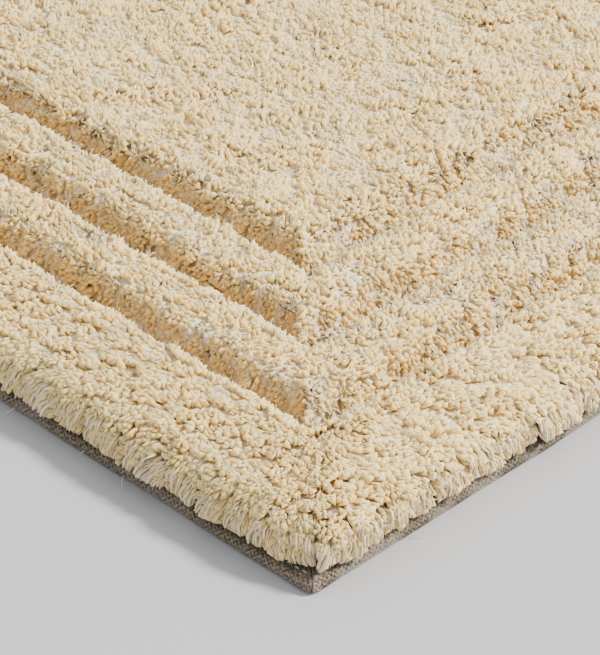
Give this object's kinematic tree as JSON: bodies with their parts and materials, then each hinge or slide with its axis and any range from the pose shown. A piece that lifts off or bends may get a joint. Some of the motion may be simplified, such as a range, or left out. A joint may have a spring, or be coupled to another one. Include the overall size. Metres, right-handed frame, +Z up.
{
  "type": "bath mat",
  "caption": "Rectangular tufted cotton bath mat: cut pile in bands parted by carved channels round a centre field, taped woven edge, anti-slip back.",
  "frame": {"origin": "on the floor, under the centre of the mat", "axes": "+X along the mat's long side, +Y across it, +Z up out of the pile"},
  "size_m": [0.803, 0.503, 0.0211],
  "materials": {
    "cotton_pile": "matte",
    "ground_cloth": "matte",
    "edge_tape": "matte",
    "thread": "matte",
    "latex_coat": "matte"
  },
  "bodies": {
    "root": {"anti_slip_coat": "latex_coat", "base_cloth": "ground_cloth", "edge_tape_front": "edge_tape", "edge_tape_right": "edge_tape", "edge_tape_back": "edge_tape", "edge_tape_left": "edge_tape", "needle_thread_front": "thread", "needle_thread_right": "thread", "needle_thread_back": "thread", "needle_thread_left": "thread", "bobbin_thread_front": "thread", "bobbin_thread_right": "thread", "bobbin_thread_back": "thread", "bobbin_thread_left": "thread", "outer_pile_front": "cotton_pile", "outer_pile_right": "cotton_pile", "outer_pile_back": "cotton_pile", "outer_pile_left": "cotton_pile", "middle_pile_front": "cotton_pile", "middle_pile_right": "cotton_pile", "middle_pile_back": "cotton_pile", "middle_pile_left": "cotton_pile", "inner_pile_front": "cotton_pile", "inner_pile_right": "cotton_pile", "inner_pile_back": "cotton_pile", "inner_pile_left": "cotton_pile", "centre_pile": "cotton_pile"}
  },
  "joints": []
}
